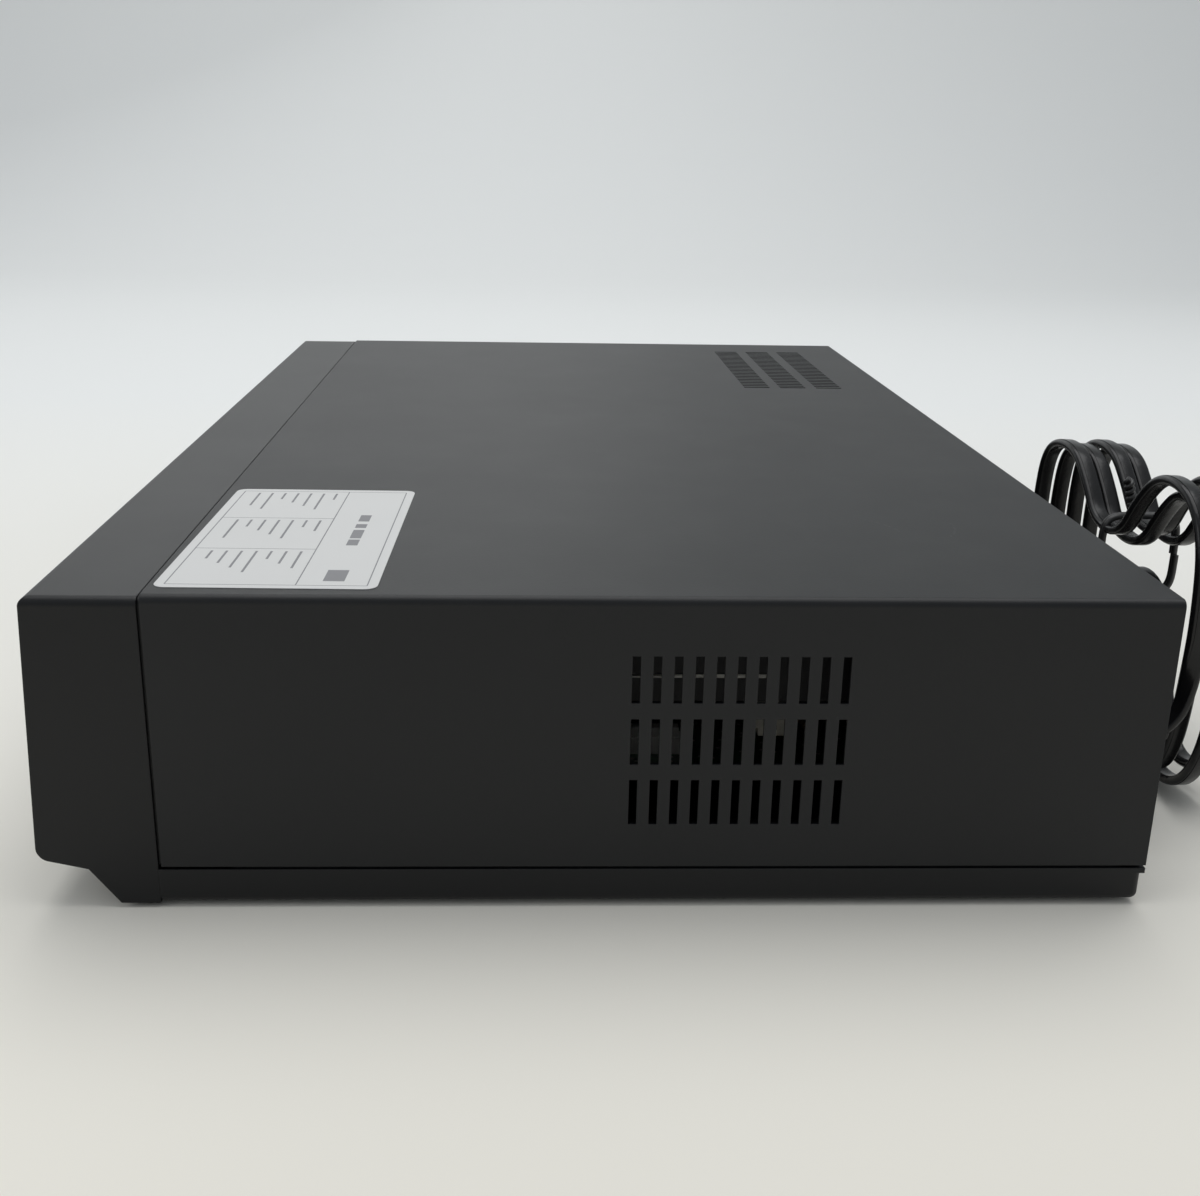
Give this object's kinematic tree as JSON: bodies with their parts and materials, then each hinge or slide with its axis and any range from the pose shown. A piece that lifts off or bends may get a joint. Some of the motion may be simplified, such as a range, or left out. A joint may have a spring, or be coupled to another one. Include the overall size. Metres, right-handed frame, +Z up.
{
  "type": "disc and tape combination player",
  "caption": "Low black disc and tape player with a vented metal cover, front tray and cassette door, working decks inside and a tied mains lead behind.",
  "frame": {"origin": "on the floor, under the middle of the case", "axes": "+X to the right of someone facing the rear, -Y is the front face, +Z up"},
  "size_m": [0.43, 0.3372, 0.095],
  "materials": {
    "case_plastic": "satin black",
    "cover_paint": "satin black paint",
    "rubber": "matt",
    "black_screw": "blackened",
    "label_paper": "matt paper",
    "smoked_window": "smoked, glossy",
    "display_glass": "glossy",
    "circuit_board": "solder mask",
    "socket_plastic": "satin",
    "tinned_steel": "tinned",
    "chip_black": "matt",
    "transformer_iron": "varnished",
    "aluminium": "machined",
    "deck_steel": "zinc plated",
    "black_moulding": "moulded",
    "white_moulding": "moulded",
    "lead_sheath": "soft satin",
    "tie_black": "satin"
  },
  "bodies": {
    "case": {"base_frame": "case_plastic", "front_panel": "case_plastic", "top_cover": "cover_paint", "rear_panel": "cover_paint", "feet": "rubber", "case_screws": "black_screw", "paper_label": "label_paper", "display_window": "smoked_window", "display_module": "display_glass", "front_board": "circuit_board", "front_jacks": "socket_plastic", "rear_jacks": "socket_plastic", "tuner_module": "tinned_steel", "main_board": "circuit_board", "circuit_parts": "chip_black", "power_board": "circuit_board", "transformer": "transformer_iron", "heat_sink": "aluminium", "deck_chassis": "deck_steel", "cassette_bracket": "deck_steel", "lower_drum": "aluminium", "capstan_motor": "circuit_board", "loader_frame": "black_moulding", "tray_motor": "tinned_steel", "clamp_bridge": "tinned_steel", "cord_bush": "black_moulding", "power_cord": "lead_sheath", "cord_hank": "lead_sheath", "cord_tail": "lead_sheath", "cord_tie": "tie_black", "mains_plug": "lead_sheath"},
    "cassette_door": {"cassette_door": "case_plastic"},
    "disc_tray": {"disc_tray": "black_moulding", "tray_front": "case_plastic"},
    "tray_gear": {"tray_gear": "white_moulding"},
    "channel_rocker": {"channel_rocker": "case_plastic"},
    "cassette_holder": {"cassette_holder": "deck_steel"},
    "upper_drum": {"upper_drum": "aluminium"},
    "capstan": {"capstan": "deck_steel"},
    "supply_reel": {"supply_reel": "black_moulding"},
    "takeup_reel": {"takeup_reel": "black_moulding"},
    "pinch_arm": {"pinch_arm": "deck_steel"},
    "pinch_roller": {"pinch_roller": "rubber"},
    "traverse": {"traverse": "black_moulding", "spindle_motor": "tinned_steel"},
    "turntable": {"turntable": "black_moulding"},
    "pickup": {"pickup": "black_moulding"},
    "clamper": {"clamper": "white_moulding"},
    "power_button": {"power_button": "case_plastic"},
    "source_button": {"source_button": "case_plastic"},
    "rewind_button": {"rewind_button": "case_plastic"},
    "play_button": {"play_button": "case_plastic"},
    "forward_button": {"forward_button": "case_plastic"},
    "stop_button": {"stop_button": "case_plastic"},
    "record_button": {"record_button": "case_plastic"},
    "open_button": {"open_button": "case_plastic"},
    "disc_play_button": {"disc_play_button": "case_plastic"},
    "disc_stop_button": {"disc_stop_button": "case_plastic"}
  },
  "joints": [
    {"name": "cassette_door_hinge", "type": "hinge", "parent": "case", "child": "cassette_door", "pos_m": [-0.097, -0.13566, 0.07127], "axis": [1, 0, 0], "range_deg": [0, 75], "stiffness_Nm_per_rad": 0.01, "springref_deg": -14.32},
    {"name": "disc_tray_slide", "type": "slide", "parent": "case", "child": "disc_tray", "axis": [0, -1, 0], "range_m": [0, 0.135]},
    {"name": "tray_gear_spin", "type": "hinge", "parent": "case", "child": "tray_gear", "pos_m": [0.07, -0.0929, 0.05], "axis": [0, 0, 1], "range_deg": [0, 969]},
    {"name": "power_button_press", "type": "slide", "parent": "case", "child": "power_button", "axis": [0, 0.9993, -0.037], "range_m": [0, 0.001], "stiffness_N_per_m": 400, "springref_m": -0.001},
    {"name": "source_button_press", "type": "slide", "parent": "case", "child": "source_button", "axis": [0, 0.9993, -0.037], "range_m": [0, 0.001], "stiffness_N_per_m": 400, "springref_m": -0.001},
    {"name": "rewind_button_press", "type": "slide", "parent": "case", "child": "rewind_button", "axis": [0, 0.9993, -0.037], "range_m": [0, 0.001], "stiffness_N_per_m": 400, "springref_m": -0.001},
    {"name": "play_button_press", "type": "slide", "parent": "case", "child": "play_button", "axis": [0, 0.9993, -0.037], "range_m": [0, 0.001], "stiffness_N_per_m": 400, "springref_m": -0.001},
    {"name": "forward_button_press", "type": "slide", "parent": "case", "child": "forward_button", "axis": [0, 0.9993, -0.037], "range_m": [0, 0.001], "stiffness_N_per_m": 400, "springref_m": -0.001},
    {"name": "stop_button_press", "type": "slide", "parent": "case", "child": "stop_button", "axis": [0, 0.9993, -0.037], "range_m": [0, 0.001], "stiffness_N_per_m": 400, "springref_m": -0.001},
    {"name": "record_button_press", "type": "slide", "parent": "case", "child": "record_button", "axis": [0, 0.9993, -0.037], "range_m": [0, 0.001], "stiffness_N_per_m": 400, "springref_m": -0.001},
    {"name": "open_button_press", "type": "slide", "parent": "case", "child": "open_button", "axis": [0, 0.9993, -0.037], "range_m": [0, 0.001], "stiffness_N_per_m": 400, "springref_m": -0.001},
    {"name": "disc_play_button_press", "type": "slide", "parent": "case", "child": "disc_play_button", "axis": [0, 0.9993, -0.037], "range_m": [0, 0.001], "stiffness_N_per_m": 400, "springref_m": -0.001},
    {"name": "disc_stop_button_press", "type": "slide", "parent": "case", "child": "disc_stop_button", "axis": [0, 0.9993, -0.037], "range_m": [0, 0.001], "stiffness_N_per_m": 400, "springref_m": -0.001},
    {"name": "channel_rocker_tilt", "type": "hinge", "parent": "case", "child": "channel_rocker", "pos_m": [-0.148, -0.13433, 0.02876], "axis": [1, 0, 0], "range_deg": [-4, 4], "stiffness_Nm_per_rad": 0.06},
    {"name": "cassette_holder_slide", "type": "slide", "parent": "case", "child": "cassette_holder", "axis": [0, 1, 0], "range_m": [0, 0.03]},
    {"name": "upper_drum_spin", "type": "hinge", "parent": "case", "child": "upper_drum", "pos_m": [-0.097, 0.0421, 0.04], "axis": [0, 0, 1], "continuous": true},
    {"name": "capstan_spin", "type": "hinge", "parent": "case", "child": "capstan", "pos_m": [-0.045, 0.0141, 0.025], "axis": [0, 0, 1], "continuous": true},
    {"name": "supply_reel_spin", "type": "hinge", "parent": "case", "child": "supply_reel", "pos_m": [-0.142, -0.0469, 0.025], "axis": [0, 0, 1], "continuous": true},
    {"name": "takeup_reel_spin", "type": "hinge", "parent": "case", "child": "takeup_reel", "pos_m": [-0.052, -0.0469, 0.025], "axis": [0, 0, 1], "continuous": true},
    {"name": "pinch_arm_swing", "type": "hinge", "parent": "case", "child": "pinch_arm", "pos_m": [-0.036, -0.0099, 0.0306], "axis": [0, 0, 1], "range_deg": [0, 25]},
    {"name": "pinch_roller_spin", "type": "hinge", "parent": "pinch_arm", "child": "pinch_roller", "pos_m": [-0.02586, 0.01185, 0.035], "axis": [0, 0, 1], "continuous": true},
    {"name": "traverse_tilt", "type": "hinge", "parent": "case", "child": "traverse", "pos_m": [0.118, 0.0311, 0.0535], "axis": [1, 0, 0], "range_deg": [0, 5]},
    {"name": "turntable_spin", "type": "hinge", "parent": "traverse", "child": "turntable", "pos_m": [0.118, -0.0509, 0.065], "axis": [0, 0, 1], "continuous": true},
    {"name": "pickup_slide", "type": "slide", "parent": "traverse", "child": "pickup", "axis": [0, 1, 0], "range_m": [0, 0.036]},
    {"name": "clamper_spin", "type": "hinge", "parent": "case", "child": "clamper", "pos_m": [0.118, -0.0509, 0.0694], "axis": [0, 0, 1], "continuous": true}
  ],
  "couplings": [
    {"joint": "tray_gear_spin", "follows": "disc_tray_slide", "rad_per_m": 125}
  ]
}
